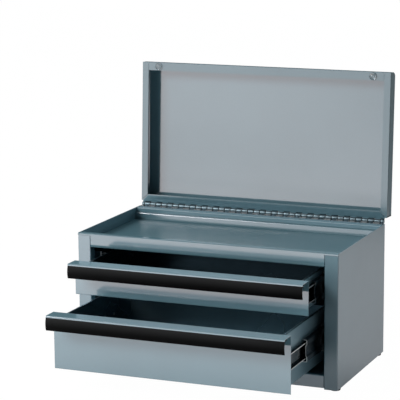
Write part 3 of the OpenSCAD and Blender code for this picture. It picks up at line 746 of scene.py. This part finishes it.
# %% Carrying a profile along X
def swept(profile, stations, insets):
    """Carries a closed profile along X. At each station every point moves in by
    the inset, along the mean of the normals of the two sides that meet there."""
    side = np.roll(profile, -1, axis=0) - profile
    normal = np.stack([-side[:, 1], side[:, 0]], axis=-1)
    normal /= np.linalg.norm(normal, axis=1, keepdims=True)
    normal = normal + np.roll(normal, 1, axis=0)
    normal /= np.linalg.norm(normal, axis=1, keepdims=True)
    across = np.roll(profile, -1, axis=0)
    area = np.sum(profile[:, 0] * across[:, 1] - across[:, 0] * profile[:, 1])
    rows = profile[None] + math.copysign(1, area) * insets[:, None, None] * normal[None]
    run = np.broadcast_to(stations[:, None, None], rows[..., :1].shape)
    return np.concatenate([run, rows], axis=-1)


print("sweep ready")

# %% The two grips
end_step = np.array([0.0, 0.08, 0.25]) * MM
end_inset = np.array([0.25, 0.07, 0.0]) * MM
between = 7
for drawer in ("upper", "lower"):
    left_end, right_end = (corner[0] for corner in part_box(drawer + "_drawer_grip"))
    shelf_low, shelf_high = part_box(drawer + "_drawer_front")
    profile = grip_profile() * MM + np.array([shelf_low[1], shelf_high[2]])
    inner = np.linspace(left_end, right_end, between + 2)[1:-1]
    stations = np.concatenate([left_end + end_step, inner, right_end - end_step[::-1]])
    insets = np.concatenate([end_inset, np.zeros(between), end_inset[::-1]])
    grip = make_piece(
        drawer + "_grip_strip", [swept(profile, stations, insets)], grip_plastic,
        drawer + "_drawer", drawer + "_drawer_grip", caps=True)
    places = np.empty(len(grip.data.vertices) * 3)
    grip.data.vertices.foreach_get("co", places)
    heights = places.reshape(-1, 3)[:, 2]
    share = (heights - heights.min()) / np.ptp(heights)
    grip.data.attributes.new("face_height", "FLOAT", "POINT").data.foreach_set("value", share)

# %% [markdown]
# ## Feet
# Each foot is a moulded rubber pad on a short neck. It is a solid of
# revolution, so its half outline, with rounded rims and a recess underneath,
# is turned about an upright axis, once for each corner of the cabinet.

# %% Feet
foot_low, foot_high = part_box("feet")
pad_r, neck_r, pad_top = 9.0, 6.0, 3.7
neck_top = (foot_high[2] - foot_low[2]) / MM
recess_r, recess_h, rim_round, small_round = 2.9, 1.7, 1.1, 0.5
foot_outline = np.concatenate([
    [(0.0, recess_h)],
    arc((recess_r - small_round, recess_h - small_round), small_round, 90, 0, 5),
    arc((recess_r + small_round, small_round), small_round, 180, 270, 5),
    arc((pad_r - 1.5, rim_round), rim_round, 270, 350, 8),
    arc((pad_r - small_round, pad_top - small_round), small_round, 0, 90, 6),
    [(neck_r + 0.3, pad_top), (neck_r, pad_top + 0.3), (neck_r, neck_top), (0.0, neck_top)]]) * MM
foot = turned(foot_outline, 48)
foot_x = foot_high[0] - pad_r * MM
foot_y = (foot_low[1] + pad_r * MM, foot_high[1] - pad_r * MM)
feet_places = np.array([(x, y, 0.0) for x in (-foot_x, foot_x) for y in foot_y])
make_piece(
    "rubber_feet", foot[None] + feet_places[:, None, None], foot_rubber,
    "cabinet", "feet")

# %% [markdown]
# ## Bumpers on the lid
# Two clear domes keep the lid off the tray. They are easiest to describe on the
# closed lid, with their axis upright, and are then swung open about the hinge
# line by the same angle as the lid.

# %% Bumpers
def swung_open(points):
    """Turns points about the hinge line, from the closed lid to the lid as it stands."""
    y, z = points[..., 1] - hinge_line[1], points[..., 2] - hinge_line[2]
    cos, sin = math.cos(-lid_angle), math.sin(-lid_angle)
    return np.stack([
        points[..., 0], hinge_line[1] + y * cos - z * sin, hinge_line[2] + y * sin + z * cos], axis=-1)


bumper_r, bumper_h, brim_h, fullness = 6.45, 5.2, 0.9, 0.8
rise = np.radians(np.linspace(0, 90, 20))
dome = np.stack([bumper_r * np.cos(rise) ** fullness, brim_h + (bumper_h - brim_h) * np.sin(rise)], axis=-1)
bumper_outline = np.concatenate([[(0.0, 0.0), (bumper_r, 0.0)], dome]) * MM
bumper_outline[-1, 0] = 0.0
bumper = turned(bumper_outline, 40) * np.array([1, 1, -1])
bumper_x, bumper_y, rim_z = 197.8 * MM, -116.5 * MM, hinge_line[2] + 2.8 * MM
bumper_places = np.array([(-bumper_x, bumper_y, rim_z), (bumper_x, bumper_y, rim_z)])
make_piece(
    "clear_bumpers", swung_open(bumper[None] + bumper_places[:, None, None]), bumper_plastic,
    "lid", "lid_bumpers")
print("bumpers", round(2 * bumper_x / MM, 1), "mm apart")

# %% [markdown]
# ## The continuous hinge
# Both leaves are one long strip each. Their edge is cut like a comb, and every
# tooth is rolled round the pin into a knuckle, so that the knuckles of the two
# leaves alternate. A leaf is therefore two pieces: a comb, which is a
# four-sided strip with one block for each tooth, and a row of rings. The notch
# between two teeth has a bevelled edge, which leaves room for the other leaf's
# knuckle. The ends of the upper leaf are cut back at 45 degrees, beside the
# mitre of the lid's rim.

# %% Sizes and teeth of the hinge
# All in mm from the hinge line, for a closed lid
pitch, shift, hinge_half = 11.0, 5.0, 225.5
knuckle_r, bore_r, knuckle_round = 3.5, 1.42, 0.65
tooth_half, shortest_tooth = 5.2, 2.0
leaf_in, leaf_out = 1.8, 2.8  # the leaf's two faces
notch_face, notch_back = -4.8, -3.05  # the bevelled edge between two teeth
upper_cut_back = 9.5
upper_leaf_y = 0.1143  # the upper leaf's straight edge on the closed lid, in metres
hinge_centre = np.array([0.0, hinge_line[1], hinge_line[2]])


def tooth_spans(parity):
    """The lowest and highest X of every tooth of one leaf, inside the hinge's length."""
    enough = math.ceil(hinge_half / pitch) + 1
    numbers = np.arange(-enough, enough + 1)
    centres = numbers[numbers % 2 == parity] * pitch + shift
    low = np.maximum(centres - tooth_half, -hinge_half)
    high = np.minimum(centres + tooth_half, hinge_half)
    whole = high - low > shortest_tooth
    return low[whole], high[whole]


print("teeth on the upper and the lower leaf:", [len(tooth_spans(parity)[0]) for parity in (1, 0)])

# %% A leaf's comb
def comb(parity, reach, up, cut_back):
    """A leaf's flat part about the hinge line: a strip and one block per tooth.

    The strip's section has a bevelled edge, and up is 1 for the upper leaf and
    -1 for the lower. Towards both ends its reach shrinks by the cut-back. A
    block fills the space from the bevel to the axis.
    """
    corner = hinge_half - cut_back
    x = np.array([-hinge_half, -corner, corner, hinge_half])
    start = -reach + np.array([cut_back, 0, 0, cut_back])
    same = np.ones(4)
    y = np.stack([start, notch_face * same, notch_back * same, start], axis=-1)
    z = np.broadcast_to(np.array([leaf_in, leaf_in, leaf_out, leaf_out]) * up, y.shape)
    strip = np.stack([np.broadcast_to(x[:, None], y.shape), y, z], axis=-1)
    ends = np.stack(tooth_spans(parity), axis=-1)
    block_y = np.array([notch_face, 0.0, 0.0, notch_back])
    shape = ends.shape + (4,)
    blocks = np.stack([
        np.broadcast_to(ends[:, :, None], shape), np.broadcast_to(block_y, shape),
        np.broadcast_to(z[0], shape)], axis=-1)
    return [strip] + list(blocks)


print("a comb has one strip and", len(comb(1, 10.0, 1, 0.0)) - 1, "blocks")

# %% Knuckles
def knuckles(parity):
    """Rings about the hinge line: a rounded section turned about X.

    A point is (x, radius times cosine, radius times sine) of the turn's angle.
    """
    low, high = tooth_spans(parity)
    edge = arc((knuckle_round, knuckle_r - knuckle_round), knuckle_round, 180, 90, 6)
    from_low = np.concatenate([[(0.0, bore_r)], edge])
    run = np.concatenate([low[:, None] + from_low[:, 0], high[:, None] - from_low[::-1, 0]], axis=1)
    radius = np.concatenate([from_low[:, 1], from_low[::-1, 1]])
    angle = np.linspace(0, 2 * np.pi, 40, endpoint=False)
    x = np.broadcast_to(run[:, :, None], run.shape + angle.shape)
    y = np.broadcast_to(radius[:, None] * np.cos(angle), x.shape)
    z = np.broadcast_to(radius[:, None] * np.sin(angle), x.shape)
    return np.stack([x, y, z], axis=-1)


print("knuckles as grids:", knuckles(1).shape)

# %% [markdown]
# ## Enamel on the hinge
# The hinge is enamelled like the chest, and a black line is painted at the joint between two knuckles, a
# painted shade of the gap. Where a leaf is notched, its cut edge and the floor behind it take another
# colour: nearly black on the upper leaf, a painted shade, and nearly white on the lower leaf, a painted
# highlight. Both repeat with the knuckles, so the finish counts pitches along X, from the same values as
# the mesh.

# %% Hinge enamel
def hinge_enamel(name, colour, rough, metal, notch_cell=1.0, notch_shading_colour=grey(0.02), notch_shading_reach=knuckle_r):
    """Enamel that gives way, near the hinge line, to what the notches show.

    Counted in knuckle pitches along X, the joints between knuckles are painted black, a painted shade of
    the gap. In every second cell the leaf ends in a notch, whose cut edge and floor, within the given reach
    of the hinge line, take the notch colour: a painted shade where it is dark and a painted highlight where
    it is light. A reach no larger than a knuckle leaves nothing painted there.
    """
    paint = Finish(name)
    across, along, up = paint.parts(paint.place())
    count = across / (pitch * MM) + (0.5 - shift / pitch)
    joint = (count.wrapped(1.0) - 0.5).absolute().ramp(0.425, 0.45)
    pair = (count + notch_cell).wrapped(2.0)
    notched = pair.ramp(0.95, 1.0) * pair.ramp(1.95, 2.0, 1.0, 0.0)
    behind, above = along - float(hinge_line[1]), up - float(hinge_line[2])
    away = (behind * behind + above * above).root()
    outside_ring = away.ramp((knuckle_r + 0.2) * MM, (knuckle_r + 0.3) * MM)
    # Within the reach, the notch colour: a painted shade on the upper leaf and a painted highlight on the
    # lower.
    notch_shading = outside_ring * away.ramp((notch_shading_reach - 0.3) * MM, notch_shading_reach * MM, 1.0, 0.0) * notched
    # Black at the joints between knuckles, a painted shade of the gap.
    joint_shade = joint * (1.0 - outside_ring)
    tone = paint.noise(0.012, 2.0).ramp(0.3, 0.7)
    film = paint.mix(joint_shade, paint.mix(tone, colour, times(colour, 1.12)), (0.012, 0.014, 0.016, 1))
    return paint.surface(
        Base_Color=paint.mix(notch_shading, film, notch_shading_colour), Metallic=(metal - joint_shade * metal) * (1.0 - notch_shading),
        Roughness=tone * 0.05 + rough, Normal=paint.bump(paint.noise(0.002, 2.0), 0.00002, 0.3))


# The knuckles and the two leaves carry one enamel in three colours, the upper leaf's the darkest, a painted
# shade.
knuckle_finish = hinge_enamel("knuckle_enamel", (0.20, 0.26, 0.29, 1), 0.36, 0.85)
upper_leaf_finish = hinge_enamel(
    "upper_leaf_enamel", (0.115, 0.215, 0.26, 1), 0.30, 0.2,
    notch_cell=1.0, notch_shading_colour=(0.012, 0.02, 0.025, 1), notch_shading_reach=5.0)
lower_leaf_finish = hinge_enamel(
    "lower_leaf_enamel", (0.225, 0.285, 0.320, 1), 0.20, 0.6,
    notch_cell=0.0, notch_shading_colour=(0.85, 0.80, 0.78, 1), notch_shading_reach=12.0)
print("hinge finishes:", [f.name for f in (knuckle_finish, upper_leaf_finish, lower_leaf_finish)])

# %% The two leaves
reach_up = (hinge_line[1] - upper_leaf_y) / MM
reach_down = (hinge_line[1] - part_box("hinge_lower_leaf")[0][1]) / MM
upper_comb = [swung_open(form * MM + hinge_centre) for form in comb(1, reach_up, 1, upper_cut_back)]
lower_comb = [form * MM + hinge_centre for form in comb(0, reach_down, -1, 0.0)]
upper_rings = swung_open(knuckles(1) * MM + hinge_centre)
lower_rings = knuckles(0) * MM + hinge_centre
for name, body, forms, rings, leaf_finish in (
        ("upper", "lid", upper_comb, upper_rings, upper_leaf_finish),
        ("lower", "cabinet", lower_comb, lower_rings, lower_leaf_finish)):
    leaf = "hinge_" + name + "_leaf"
    make_piece("hinge_comb_" + name, forms, leaf_finish, body, leaf, caps=True)
    make_piece(
        "hinge_knuckles_" + name, rings, knuckle_finish, body, leaf, wrap_rows=True)

# %% [markdown]
# ## Dressing the panels
# Each CAD node keeps its mesh and gets one finish. The names say what a piece
# is, so a short list of name endings is enough to sort all of them. The first
# ending that fits decides, so a longer one stands before a shorter one.

# %% Give every node its finish
finish_by_ending = (
    ("fixed_member", fixed_steel), ("upper_left_middle_member", hidden_middle_steel),
    ("upper_right_middle_member", hidden_middle_steel), ("middle_member", middle_steel),
    ("drawer_member", drawer_member_steel), ("cage", cage_steel), ("balls", ball_steel),
    ("screws", screw_steel), ("rivets", screw_steel), ("hinge_pin", screw_steel),
    ("grip", grip_plastic), ("feet", foot_rubber), ("bumpers", bumper_plastic),
    ("bracket", inside_enamel), ("upper_drawer_box", upper_drawer_finish),
    ("lower_drawer_box", lower_drawer_finish), ("side_panel", side_enamel),
    ("panel", outside_enamel), ("tray", tray_enamel), ("leaf", outside_enamel),
    ("lid_shell", lid_enamel), ("drawer_front", outside_enamel))

for name, node in frame["nodes"].items():
    finish = next(f for ending, f in finish_by_ending if name.endswith(ending))
    if node.material_slots:
        for part_slot in node.material_slots:
            part_slot.material = finish
    else:
        node.data.materials.append(finish)
print("dressed", len(frame["nodes"]), "nodes")
